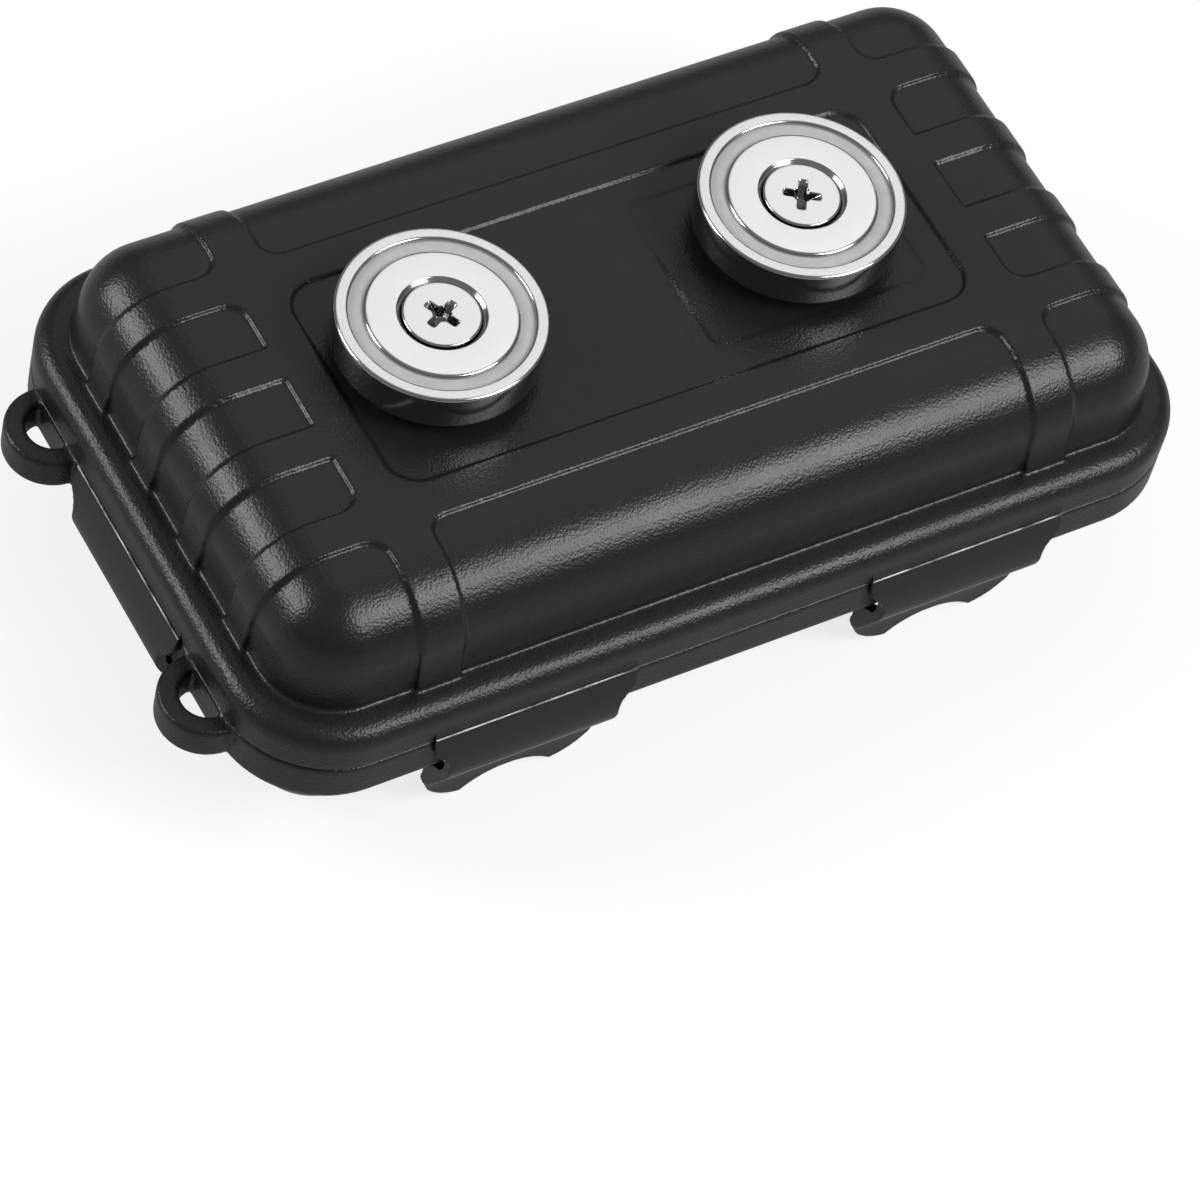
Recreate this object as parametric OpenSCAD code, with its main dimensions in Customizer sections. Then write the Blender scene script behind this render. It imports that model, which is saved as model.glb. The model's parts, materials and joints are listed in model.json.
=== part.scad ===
// Magnetic key holder box: two moulded half shells that close on a rim seal,
// four swing latches, foam on both sides and two pot magnets screwed to the lid.
// Frame: origin at the centre of the flat underside, +Z up, hinge at +Y,
// the two front latches at -Y, the two lanyard loops at -X. Millimetres.

/* [Outline] */
// Length over the rims
box_l = 126; // [116:1:150]
// Width over the rims
box_w = 73; // [68:1:90]
// Rim corner radius in plan
corner_r = 13; // [12:0.1:14]

/* [Base shell] */
// Depth of the base below the parting plane
base_h = 18.4; // [17:0.1:26]
// Straight part of the base rim
base_rim_edge = 4.6; // [4.2:0.1:5.4]
// Rounding under the base rim
base_rim_round = 1.4; // [1:0.1:2]

/* [Lid shell] */
// Height of the lid above the parting plane
lid_h = 19.8; // [18:0.1:26]
// Straight part of the lid rim
lid_rim_edge = 3.4; // [3:0.1:4]
// Rounding on top of the lid rim
lid_rim_round = 2.5; // [2:0.1:3]

/* [Walls] */
// Distance of the wall from the rim edge, where the wall meets the rim
body_inset = 4.0; // [3.8:0.1:4.4]
// Further distance that the wall leans in up to the top rounding
wall_lean = 0.5; // [0.2:0.1:0.8]
// Wall thickness
wall = 1.8; // [1.4:0.1:2.2]
// Depth of the moulded panels
panel_step = 0.5; // [0.3:0.1:0.7]
// Bevel on the rim edges at the parting plane
edge_break = 0.22; // [0.1:0.02:0.3]
// Gap between the closed rims
rim_gap = 0.06; // [0.04:0.01:0.1]

/* [Panels] */
// Half length of the long side panels
long_panel_x = 38.0; // [30:0.5:39]
// Distance of the long side panels from the centre line
long_panel_y = 20.0; // [18:0.5:21]
// Width of the bands beside the long panels
band_w = 5.6; // [4:0.2:6]
// Width of the short side panels
side_panel_w = 7.3; // [6.5:0.1:7.6]
// Width of the ribs between the short side panels
rib_w = 4.65; // [4:0.05:5]
// Corner radius of the long and corner panels
panel_r = 2.6; // [1:0.2:3]

/* [Label recess] */
// Length of the shallow recess round the magnets
label_l = 77.2; // [74:0.2:80]
// Width of the shallow recess round the magnets
label_w = 30.4; // [28:0.2:32]
// Corner radius of that recess
label_r = 4.0; // [2:0.5:6]
// Depth of that recess
label_depth = 0.4; // [0.2:0.05:0.6]
// Length of the mould insert field at the right magnet
insert_l = 29.6; // [28:0.2:30]
// Width of the mould insert field
insert_w = 22.8; // [20:0.2:24]
// Centre of the mould insert field along X
insert_x = 20.0; // [18:0.5:21]
// Centre of the mould insert field along Y
insert_y = 0.5; // [-1:0.5:1]
// Depth of the mould insert field below the recess floor
insert_depth = 0.15; // [0.1:0.05:0.25]

/* [Magnets] */
// Distance between the magnet centres
magnet_pitch = 48; // [44:0.5:52]
// Offset of the magnet pair along X
magnet_dx = -1.9; // [-3:0.1:0]
// Offset of the magnet pair along Y
magnet_dy = 0.8; // [0:0.1:1.5]
// Outer diameter of the steel cup
cup_d = 25; // [24:0.5:26]
// Height of the steel cup
cup_h = 5.0; // [4.8:0.1:6]
// Thickness of the cup bottom
cup_floor = 1.2; // [1:0.1:1.4]
// Bore of the steel cup
cup_bore = 21.6; // [21:0.1:22]
// Rounding of the cup edges
cup_edge = 0.35; // [0.2:0.05:0.5]
// Outer diameter of the ring magnet
ring_d = 18.3; // [17.5:0.1:19]
// Edge bevel of the ring magnet
ring_edge = 0.25; // [0.15:0.05:0.4]
// Diameter of the countersink in the ring magnet
sink_d = 10.6; // [10.2:0.1:11]
// Distance of the potting below the cup edge
potting_drop = 0.5; // [0.3:0.1:0.8]
// Height of the cup bottom above the lid top
magnet_lift = 2.0; // [1.5:0.1:3]
// Diameter of the rubber washer under the cup
seal_washer_d = 16; // [14:0.5:18]

/* [Screws] */
// Screw diameter
screw_d = 5.0; // [4:0.5:5]
// Head diameter
head_d = 9.3; // [8.8:0.1:9.6]
// Straight edge of the head
head_edge = 0.35; // [0.2:0.05:0.5]
// Distance of the head below the magnet face
head_drop = 0.12; // [0.05:0.01:0.2]
// Width across the cross recess
cross_w = 4.6; // [4:0.1:5]
// Slot width of the cross recess
cross_slot = 0.95; // [0.8:0.05:1.1]
// Depth of the cross recess
cross_deep = 1.7; // [1.4:0.1:2]
// Turn of the left cross recess
cross_turn_left = 26; // [0:1:89]
// Turn of the right cross recess
cross_turn_right = 57; // [0:1:89]
// Clearance hole in the cup, magnet, washers and lid
hole_d = 5.5; // [5.3:0.1:5.8]
// Washer diameter
washer_d = 10; // [9.5:0.5:12]
// Washer thickness
washer_t = 1.0; // [0.8:0.1:1.2]
// Nut width across flats
nut_w = 8.0; // [8:0.5:9]
// Nut height
nut_h = 4.7; // [4:0.1:5]
// Screw thread standing out of the nut
screw_tail = 0.7; // [0.3:0.1:1]
// Bevel at the end of the thread
thread_bevel = 0.5; // [0.3:0.1:0.6]
// Bevel round the top of the head
head_bevel = 0.2; // [0.1:0.05:0.3]
// Width of the cross recess at its bottom
cross_foot = 1.4; // [1.2:0.1:1.6]
// Core diameter of the cross recess at its bottom
core_low = 1.5; // [1.3:0.1:1.6]
// Core diameter of the cross recess above the head
core_high = 2.3; // [2:0.1:2.4]
// Radial thread clearance in the nut
thread_gap = 0.03; // [0.02:0.01:0.05]

/* [Latches] */
// Distance of the front latches from the centre
latch_x = 29.1; // [28:0.1:33]
// Length of the latch root
latch_root = 26.0; // [24:0.2:27]
// Width over the latch lobes
latch_w = 21.8; // [20:0.2:22]
// Reach of the latch below the parting plane
latch_drop = 14; // [13:0.1:15]
// Height of the crease across the latch
crease_drop = 6.4; // [6:0.1:7]
// Outer face of the latch plate beyond the rim
latch_out = 1.5; // [1.4:0.05:1.8]
// Outer face at the latch tip
tip_out = 0.85; // [0.75:0.05:1]
// Clearance between the latch and the base rim
latch_gap = 0.14; // [0.1:0.02:0.16]
// Pocket face inside the latch
pocket_out = 0.7; // [0.6:0.05:0.8]
// Pocket width
pocket_w = 18.8; // [16:0.2:19.2]
// Radius of the latch root bead
bead_r = 0.5; // [0.45:0.01:0.52]
// Bead axis beyond the rim
bead_out = 0.3; // [0.28:0.01:0.34]
// Bead axis above the parting plane
bead_up = 0.7; // [0.66:0.01:0.8]
// Radial clearance of the turning beads
bead_gap = 0.06; // [0.04:0.01:0.08]
// Depth of the finger notch
notch_deep = 1.9; // [1.5:0.1:2.2]
// Width of the finger notch
notch_w = 10.4; // [9:0.2:11]
// Radius of the lobes
lobe_r = 4.7; // [4:0.1:5]
// Straight sides of the latch root below the parting plane
root_side = 1.9; // [1.5:0.1:2.2]
// Bevel of the plate beside the root bead
plate_bevel = 0.35; // [0.2:0.05:0.45]
// Thickness of the latch tip
tip_t = 0.45; // [0.3:0.05:0.6]
// Height of the slope behind the latch tip
tip_slope = 0.8; // [0.5:0.1:1.2]

/* [Hinge strip] */
// Length of the hinge strip
hinge_l = 86.4; // [70:0.2:90]
// Radius of the hinge bead
hinge_r = 0.75; // [0.7:0.01:0.8]
// Axis of the hinge bead beyond the rim
hinge_out = 0.5; // [0.5:0.01:0.55]
// Thickness of the strip tongue in the base
tongue_t = 0.8; // [0.6:0.1:1]
// Depth of the tongue in the base rim
tongue_l = 2.6; // [2:0.1:3]
// Cover of base material over the tongue
tongue_cover = 0.5; // [0.4:0.05:0.6]
// Clearance round the tongue
tongue_gap = 0.04; // [0.02:0.01:0.06]

/* [Lanyard loops] */
// Distance of the loops from the centre line
loop_y = 20.3; // [20:0.1:21]
// Outer radius of a loop
loop_r = 5.8; // [5.4:0.1:6]
// Radius of the loop hole
loop_hole_r = 3.2; // [3:0.1:3.4]
// Loop height
loop_h = 4.6; // [4:0.1:4.8]
// Edge rounding of a loop
loop_edge = 0.6; // [0.3:0.1:0.8]
// Distance of the loop top below the parting plane
loop_drop = 0.3; // [0.2:0.1:0.4]
// Reach of the loop ends into the rim
loop_root = 0.3; // [0.2:0.05:0.5]

/* [Seal and foam] */
// Centre of the seal groove from the rim edge
seal_inset = 2.8; // [2.7:0.05:3]
// Diameter of the seal cord
seal_d = 1.4; // [1.2:0.05:1.5]
// Width of the seal groove
groove_w = 1.6; // [1.5:0.05:1.7]
// Depth of the seal groove
groove_deep = 1.6; // [1.55:0.05:1.7]
// Gap between the seal and the closed base rim
seal_gap = 0.08; // [0.05:0.01:0.1]
// Open ends of the seal cord at its joint
seal_joint = 0.5; // [0.3:0.1:0.8]
// Place of the seal joint along X, on the hinge side
seal_joint_x = -20.5; // [-25:0.5:-15]
// Free space above the base foam and below the lid foam
foam_free = 3.0; // [2.5:0.1:4]
// Clearance round the foam
foam_gap = 0.12; // [0.1:0.02:0.3]
// Clearance round the nuts in the lid foam
nut_space = 1.2; // [0.8:0.1:2]

/* [Hidden] */
$fn = 72;
part_z = base_h;
top_z = base_h + lid_h;
core_x = box_l / 2 - corner_r;
core_y = box_w / 2 - corner_r;
wall_r = corner_r - body_inset;
fillet_r = wall_r - wall_lean;
crown_r = fillet_r + panel_step;
cavity_foot = wall_r - wall;
cavity_r = fillet_r - wall;
ceiling = panel_step + wall;
rib_end = 1.5 * side_panel_w + 2 * rib_w;
band_x = long_panel_x + band_w;
cut = 60;
raised_root = 0.6;
plate_root = 0.3;
pocket_top = 0.5;
pocket_slope = 0.4;
pocket_foot = 3;
bead_play = 0.2;
magnet_x = [magnet_dx - magnet_pitch / 2, magnet_dx + magnet_pitch / 2];
floor_drop = [label_depth, label_depth + insert_depth];
cup_z = top_z + magnet_lift;
face_z = cup_z + cup_h;
washer_z = top_z - ceiling - washer_t;
nut_z = washer_z - nut_h;
bead_z = part_z + bead_up;
hinge_y = box_w / 2 + hinge_out;
black = [0.13, 0.13, 0.14];
smoke = [0.17, 0.17, 0.18];
foam_grey = [0.10, 0.10, 0.105];
nickel = [0.86, 0.86, 0.85];
steel = [0.72, 0.72, 0.72];
rubber = [0.06, 0.06, 0.06];

// Sweeps a section, drawn as distance from the corner centre and height, round the box
module sweep_ring() {
    for (sx = [-1, 1])
        for (sy = [-1, 1])
            translate([sx * core_x, sy * core_y, 0])
                rotate([0, 0, sx > 0 ? (sy > 0 ? 0 : -90) : (sy > 0 ? 90 : 180)])
                    rotate_extrude(angle = 90)
                        children();
    for (s = [-1, 1]) {
        translate([0, s * core_y, 0])
            rotate([0, 0, s * 90])
                translate([0, core_x, 0])
                    rotate([90, 0, 0])
                        linear_extrude(2 * core_x)
                            children();
        translate([s * core_x, 0, 0])
            rotate([0, 0, s > 0 ? 0 : 180])
                translate([0, core_y, 0])
                    rotate([90, 0, 0])
                        linear_extrude(2 * core_y)
                            children();
    }
}

// Closes the middle of a sweep between two heights
module core_block(z0, z1) {
    translate([-core_x, -core_y, z0])
        cube([2 * core_x, 2 * core_y, z1 - z0]);
}

// Wall section of one half, seen from the parting plane at zero up to its height
module wall_section(height, rad, foot, low) {
    union() {
        polygon([[0, low], [foot, low], [rad, height - crown_r], [0, height - crown_r]]);
        intersection() {
            translate([0, height - crown_r])
                circle(rad);
            translate([0, height - crown_r])
                square(2 * rad);
        }
    }
}

// Rim section: straight edge with a bevel at the parting plane, then a rounding
module rim_section(edge, round_r) {
    union() {
        polygon([[0, 0], [corner_r - edge_break, 0], [corner_r, edge_break],
            [corner_r, edge], [0, edge]]);
        square([corner_r - round_r, edge + round_r]);
        intersection() {
            translate([corner_r - round_r, edge])
                circle(round_r);
            translate([corner_r - round_r, edge])
                square(round_r);
        }
    }
}

// Solid outer form of one half without its panels' raised parts
module half_low(height, edge, round_r) {
    sweep_ring()
        union() {
            rim_section(edge, round_r);
            wall_section(height, fillet_r, wall_r, edge);
        }
    core_block(0, height - panel_step);
}

// Solid outer form at the level of the ribs and bands
module half_high(height, low) {
    sweep_ring()
        wall_section(height, crown_r, wall_r + panel_step, low);
    core_block(low, height);
}

module half_cavity(height) {
    union() {
        sweep_ring()
            wall_section(height, cavity_r, cavity_foot, -1);
        core_block(-1, height - ceiling);
    }
}

// One recessed panel in plan, open to the outside, with rounded inner corners
module panel_plan(x0, x1, y0, round_a, round_b) {
    difference() {
        translate([x0, y0])
            square([x1 - x0, cut]);
        if (round_a > 0)
            translate([x0, y0])
                difference() {
                    square(round_a);
                    translate([round_a, round_a])
                        circle(round_a);
                }
        if (round_b > 0)
            translate([x1 - round_b, y0])
                difference() {
                    square(round_b);
                    translate([0, round_b])
                        circle(round_b);
                }
    }
}

// Plan of everything that stands proud: centre field, ribs and bands
module raised_plan() {
    difference() {
        square([3 * cut, 2 * cut], center = true);
        for (s = [-1, 1]) {
            scale_y(s)
                panel_plan(-long_panel_x, long_panel_x, long_panel_y, panel_r, panel_r);
            for (t = [-1, 1])
                mirror([t < 0 ? 1 : 0, 0])
                    scale_y(s)
                        panel_plan(band_x, band_x + cut, rib_end, panel_r, 0);
            rotate(s > 0 ? -90 : 90)
                side_panels();
        }
    }
}

module side_panels() {
    w = side_panel_w / 2;
    panel_plan(-w, w, band_x, 0, 0);
    for (s = [-1, 1])
        mirror([s < 0 ? 1 : 0, 0])
            panel_plan(w + rib_w, 3 * w + rib_w, band_x, 0, panel_r);
}

module scale_y(s) {
    mirror([0, s < 0 ? 1 : 0])
        children();
}

module half_form(height, edge, round_r) {
    union() {
        half_low(height, edge, round_r);
        intersection() {
            half_high(height, edge + round_r - raised_root);
            linear_extrude(height + 1)
                raised_plan();
        }
    }
}

module rounded_plate(l, w, r, h) {
    union() {
        translate([-l / 2 + r, -w / 2, 0])
            cube([l - 2 * r, w, h]);
        translate([-l / 2, -w / 2 + r, 0])
            cube([l, w - 2 * r, h]);
        for (sx = [-1, 1])
            for (sy = [-1, 1])
                translate([sx * (l / 2 - r), sy * (w / 2 - r), 0])
                    cylinder(r = r, h = h);
    }
}

// Places its children at the four latch axes, local +X outward, local Y along the rim
module at_latch(i) {
    if (i < 2)
        translate([i == 0 ? -latch_x : latch_x, -box_w / 2 - bead_out, bead_z])
            rotate([0, 0, -90])
                children();
    if (i == 2)
        translate([-box_l / 2 - bead_out, 0, bead_z])
            rotate([0, 0, 180])
                children();
    if (i == 3)
        translate([box_l / 2 + bead_out, 0, bead_z])
            children();
}

module along_y(r, l) {
    rotate([90, 0, 0])
        cylinder(r = r, h = l, center = true);
}

module base_shell() {
    color(black)
        difference() {
            union() {
                difference() {
                    translate([0, 0, part_z])
                        mirror([0, 0, 1])
                            half_form(base_h, base_rim_edge, base_rim_round);
                    translate([0, 0, part_z])
                        mirror([0, 0, 1])
                            half_cavity(base_h);
                }
                for (s = [-1, 1])
                    lanyard_loop(s * loop_y);
            }
            hinge_seat(tongue_gap);
        }
}

// Half ring on the rim; its section has rounded edges
module lanyard_loop(y) {
    z0 = part_z - loop_drop - loop_h;
    difference() {
        translate([-box_l / 2, y, z0])
            rotate_extrude()
                loop_section();
        translate([-box_l / 2 + loop_root, y - loop_r - 1, z0 - 1])
            cube([2 * loop_r, 2 * loop_r + 2, loop_h + 2]);
    }
}

module loop_section() {
    w = loop_r - loop_hole_r;
    translate([loop_hole_r, 0])
        union() {
            translate([loop_edge, 0])
                square([w - 2 * loop_edge, loop_h]);
            translate([0, loop_edge])
                square([w, loop_h - 2 * loop_edge]);
            for (x = [loop_edge, w - loop_edge])
                for (z = [loop_edge, loop_h - loop_edge])
                    translate([x, z])
                        circle(loop_edge);
        }
}

module hinge_seat(gap) {
    translate([0, hinge_y, part_z])
        rotate([0, 90, 0])
            cylinder(r = hinge_r + gap, h = hinge_l + 2 * gap, center = true);
    translate([-hinge_l / 2 - gap, hinge_y - hinge_out - tongue_l - gap,
        part_z - tongue_cover - tongue_t - gap])
        cube([hinge_l + 2 * gap, tongue_l + hinge_out + gap, tongue_t + 2 * gap]);
}

module hinge_strip() {
    color(smoke)
        union() {
            translate([0, hinge_y, part_z])
                rotate([0, 90, 0])
                    cylinder(r = hinge_r, h = hinge_l, center = true);
            translate([-hinge_l / 2, hinge_y - hinge_out - tongue_l,
                part_z - tongue_cover - tongue_t])
                cube([hinge_l, tongue_l + hinge_out, tongue_t]);
        }
}

module lid_shell() {
    color(black)
        difference() {
            translate([0, 0, part_z])
                half_form(lid_h, lid_rim_edge, lid_rim_round);
            translate([0, 0, part_z])
                half_cavity(lid_h);
            translate([-box_l, -box_w, part_z - 1])
                cube([2 * box_l, 2 * box_w, 1 + rim_gap]);
            translate([0, 0, part_z])
                sweep_ring()
                    translate([corner_r - seal_inset - groove_w / 2, -1])
                        square([groove_w, groove_deep + 1]);
            translate([0, 0, top_z - label_depth])
                rounded_plate(label_l, label_w, label_r, 2);
            translate([insert_x, insert_y, top_z - label_depth - insert_depth])
                rounded_plate(insert_l, insert_w, label_r / 2, 2);
            for (x = magnet_x)
                translate([x, magnet_dy, top_z - ceiling - 1])
                    cylinder(d = hole_d, h = ceiling + 2);
            for (i = [0:3])
                at_latch(i)
                    along_y(bead_r + bead_gap, latch_root + bead_play);
            translate([0, hinge_y, part_z])
                rotate([0, 90, 0])
                    cylinder(r = hinge_r + bead_gap, h = hinge_l + 2 * bead_play, center = true);
        }
}

module lid_gasket() {
    r = corner_r - seal_inset;
    z = part_z + seal_gap + seal_d / 2;
    color(rubber)
        difference() {
            sweep_ring()
                translate([r, z])
                    circle(d = seal_d);
            translate([seal_joint_x - seal_joint / 2, core_y + r - seal_d, part_z - 1])
                cube([seal_joint, 2 * seal_d, 4]);
        }
}

module base_foam() {
    color(foam_grey)
        difference() {
            translate([0, 0, part_z])
                mirror([0, 0, 1])
                    foam_form(base_h);
            translate([-box_l, -box_w, part_z - foam_free])
                cube([2 * box_l, 2 * box_w, foam_free + 2]);
        }
}

module foam_form(height) {
    union() {
        sweep_ring()
            wall_section(height, cavity_r - foam_gap, cavity_foot - foam_gap, -1);
        core_block(-1, height - ceiling - foam_gap);
    }
}

module lid_foam() {
    color(foam_grey)
        difference() {
            translate([0, 0, part_z])
                foam_form(lid_h);
            translate([-box_l, -box_w, part_z - 2])
                cube([2 * box_l, 2 * box_w, foam_free + 2]);
            for (x = magnet_x)
                translate([x, magnet_dy, nut_z - screw_tail - nut_space])
                    cylinder(d = washer_d + 2 * nut_space, h = cut);
        }
}

// Latch outline seen from outside; height zero is the parting plane
module latch_outline() {
    neck = (latch_root - latch_w) / 2;
    lobe_x = latch_w / 2 - lobe_r;
    rise = bead_up + bead_r + 1;
    bite = (notch_w * notch_w / 4 + notch_deep * notch_deep) / (2 * notch_deep);
    difference() {
        union() {
            translate([-latch_root / 2, -root_side])
                square([latch_root, root_side + rise]);
            translate([-latch_w / 2 - neck, -root_side - neck])
                square([latch_w + 2 * neck, neck + 0.1]);
            translate([-latch_w / 2, -latch_drop + lobe_r])
                square([latch_w, latch_drop - lobe_r]);
            translate([-lobe_x, -latch_drop])
                square([2 * lobe_x, latch_drop]);
            for (s = [-1, 1])
                translate([s * lobe_x, -latch_drop + lobe_r])
                    circle(lobe_r);
        }
        for (s = [-1, 1])
            translate([s * latch_root / 2, -root_side - neck])
                circle(neck);
        translate([0, -latch_drop + notch_deep - bite])
            circle(bite);
    }
}

// Latch plate from the side; zero is the bead axis
module latch_section() {
    a = -bead_out;
    b = -bead_up;
    polygon([[0, 0], [a + latch_out - plate_bevel, -plate_root],
        [a + latch_out, -plate_root - 2 * plate_bevel], [a + latch_out, b - crease_drop],
        [a + tip_out, b - latch_drop], [a + tip_out - tip_t, b - latch_drop],
        [a + latch_gap, b - latch_drop + tip_slope], [a + latch_gap, -bead_r - 0.1]]);
}

// Recess behind the plate that the edge of the base rim would fill
module latch_pocket() {
    a = -bead_out;
    b = -bead_up;
    foot = base_rim_edge + pocket_slope;
    polygon([[a - 1, b - pocket_top], [a + pocket_out, b - pocket_top - pocket_slope],
        [a + pocket_out, b - foot], [a + latch_gap - 0.01, b - foot - pocket_foot],
        [a - 1, b - foot - pocket_foot]]);
}

module latch_body() {
    union() {
        along_y(bead_r, latch_root);
        intersection() {
            difference() {
                rotate([90, 0, 0])
                    linear_extrude(latch_root, center = true)
                        latch_section();
                rotate([90, 0, 0])
                    linear_extrude(pocket_w, center = true)
                        latch_pocket();
            }
            translate([-3, 0, -bead_up])
                rotate([90, 0, 90])
                    linear_extrude(8)
                        latch_outline();
        }
    }
}

module latch_front_left() {
    color(black)
        at_latch(0)
            latch_body();
}

module latch_front_right() {
    color(black)
        at_latch(1)
            latch_body();
}

module latch_left() {
    color(black)
        at_latch(2)
            latch_body();
}

module latch_right() {
    color(black)
        at_latch(3)
            latch_body();
}

// Steel cup with rounded outer edges, open at the top
module magnet_cup(x) {
    r = cup_d / 2;
    color(nickel)
        translate([x, magnet_dy, cup_z])
            rotate_extrude()
                difference() {
                    union() {
                        square([r - cup_edge, cup_h]);
                        translate([0, cup_edge])
                            square([r, cup_h - 2 * cup_edge]);
                        for (z = [cup_edge, cup_h - cup_edge])
                            translate([r - cup_edge, z])
                                circle(cup_edge);
                    }
                    translate([0, cup_floor])
                        square([cup_bore / 2, cup_h]);
                    translate([0, -1])
                        square([hole_d / 2, cup_h]);
                }
}

module ring_magnet(x) {
    h = cup_h - cup_floor;
    r = ring_d / 2;
    color(nickel)
        translate([x, magnet_dy, cup_z + cup_floor])
            rotate_extrude()
                polygon([[hole_d / 2, 0], [r, 0], [r, h - ring_edge], [r - ring_edge, h],
                    [sink_d / 2, h], [hole_d / 2, h - (sink_d - hole_d) / 2]]);
}

module potting(x) {
    h = cup_h - cup_floor - potting_drop;
    color([0.62, 0.62, 0.61])
        translate([x, magnet_dy, cup_z + cup_floor])
            rotate_extrude()
                translate([ring_d / 2, 0])
                    square([(cup_bore - ring_d) / 2, h]);
}

module magnet_screw(x, turn) {
    head_z = face_z - head_drop;
    cone = (head_d - screw_d) / 2;
    tail = nut_z - screw_tail;
    color(nickel)
        difference() {
            translate([x, magnet_dy, 0])
                rotate_extrude()
                    polygon([[0, tail], [screw_d / 2 - thread_bevel, tail],
                        [screw_d / 2, tail + thread_bevel],
                        [screw_d / 2, head_z - head_edge - cone], [head_d / 2, head_z - head_edge],
                        [head_d / 2, head_z - 0.6 * head_bevel],
                        [head_d / 2 - head_bevel, head_z], [0, head_z]]);
            translate([x, magnet_dy, head_z - cross_deep])
                rotate([0, 0, turn])
                    cross_recess();
        }
}

// Two crossing slots with sloping ends round a small core
module cross_recess() {
    for (a = [0, 90])
        rotate([90, 0, a])
            linear_extrude(cross_slot, center = true)
                polygon([[-cross_foot / 2, 0], [cross_foot / 2, 0], [cross_w / 2, cross_deep],
                    [cross_w / 2, 2 * cross_deep], [-cross_w / 2, 2 * cross_deep],
                    [-cross_w / 2, cross_deep]]);
    cylinder(d1 = core_low, d2 = core_high, h = cross_deep + 0.5);
}

module seal_washer(x, drop) {
    color(rubber)
        translate([x, magnet_dy, top_z - drop])
            difference() {
                cylinder(d = seal_washer_d, h = magnet_lift + drop);
                translate([0, 0, -1])
                    cylinder(d = hole_d, h = magnet_lift + drop + 2);
            }
}

module flat_washer(x) {
    color(steel)
        translate([x, magnet_dy, washer_z])
            difference() {
                cylinder(d = washer_d, h = washer_t);
                translate([0, 0, -1])
                    cylinder(d = hole_d, h = washer_t + 2);
            }
}

// Hexagon nut, its corners bevelled by the cone that trims them
module lock_nut(x) {
    across = nut_w / cos(30);
    color(steel)
        translate([x, magnet_dy, nut_z])
            difference() {
                intersection() {
                    cylinder(d = across, h = nut_h, $fn = 6);
                    cylinder(r1 = nut_w / 2, r2 = nut_w / 2 + nut_h, h = nut_h);
                }
                translate([0, 0, -1])
                    cylinder(r = screw_d / 2 + thread_gap, h = nut_h + 2);
            }
}

base_shell();
lid_shell();
hinge_strip();
latch_front_left();
latch_front_right();
latch_left();
latch_right();
lid_gasket();
lid_foam();
base_foam();
magnet_cup(magnet_x[0]);  // cup_left
magnet_cup(magnet_x[1]);  // cup_right
ring_magnet(magnet_x[0]);  // ring_magnet_left
ring_magnet(magnet_x[1]);  // ring_magnet_right
potting(magnet_x[0]);  // potting_left
potting(magnet_x[1]);  // potting_right
magnet_screw(magnet_x[0], cross_turn_left);  // screw_left
magnet_screw(magnet_x[1], cross_turn_right);  // screw_right
seal_washer(magnet_x[0], floor_drop[0]);  // seal_washer_left
seal_washer(magnet_x[1], floor_drop[1]);  // seal_washer_right
flat_washer(magnet_x[0]);  // flat_washer_left
flat_washer(magnet_x[1]);  // flat_washer_right
lock_nut(magnet_x[0]);  // lock_nut_left
lock_nut(magnet_x[1]);  // lock_nut_right
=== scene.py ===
import bpy
import json
from math import pi, radians
from mathutils import Matrix, Vector

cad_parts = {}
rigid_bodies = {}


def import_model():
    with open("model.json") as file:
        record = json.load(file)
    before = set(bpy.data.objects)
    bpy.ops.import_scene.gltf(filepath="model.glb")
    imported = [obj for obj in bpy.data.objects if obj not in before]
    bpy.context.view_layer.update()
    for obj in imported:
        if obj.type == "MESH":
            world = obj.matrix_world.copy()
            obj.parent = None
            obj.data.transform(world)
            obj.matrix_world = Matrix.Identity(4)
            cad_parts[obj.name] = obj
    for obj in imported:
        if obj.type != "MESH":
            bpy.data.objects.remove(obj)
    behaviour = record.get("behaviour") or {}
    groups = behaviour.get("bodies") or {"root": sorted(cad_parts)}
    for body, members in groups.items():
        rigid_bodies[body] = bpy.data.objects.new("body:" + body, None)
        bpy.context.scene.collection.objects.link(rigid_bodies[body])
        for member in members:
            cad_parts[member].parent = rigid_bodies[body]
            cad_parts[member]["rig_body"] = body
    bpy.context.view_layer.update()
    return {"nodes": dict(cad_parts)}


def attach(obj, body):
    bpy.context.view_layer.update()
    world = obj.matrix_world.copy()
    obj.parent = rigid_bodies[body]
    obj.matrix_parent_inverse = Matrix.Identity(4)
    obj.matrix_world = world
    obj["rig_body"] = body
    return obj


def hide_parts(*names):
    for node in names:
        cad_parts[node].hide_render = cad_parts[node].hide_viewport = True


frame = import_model()

# ---- Camera -------------------------------------------------------------
# A long lens looks down on the near left corner of the closed box, as the
# photograph does. The small shift only frames the box on the 1200 x 1195 sheet.
lens = bpy.data.cameras.new("camera")
camera = bpy.data.objects.new("camera", lens)
bpy.context.collection.objects.link(camera)
lens.lens = 181.449
lens.sensor_width = 36
lens.shift_x = 0.0082
lens.shift_y = -0.1645
lens.clip_start = 0.05
lens.clip_end = 20
# The turn is one rotation vector; its matrix's rows point to the camera's right, down and ahead
turn = Vector((2.457, -0.5559, 0.4033))
look = Matrix.Rotation(turn.length, 3, turn.normalized())
camera.matrix_world = Matrix.Translation((-0.2894, -0.3399, 0.5818)) @ Matrix(
    (look[0], -look[1], -look[2])).transposed().to_4x4()
bpy.context.scene.camera = camera

# ---- Studio -------------------------------------------------------------
# Pale sweep of paper under the box. Two softboxes light it, one high in front on
# the right and one low behind on the left, and a wide weak panel hangs behind.


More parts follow.
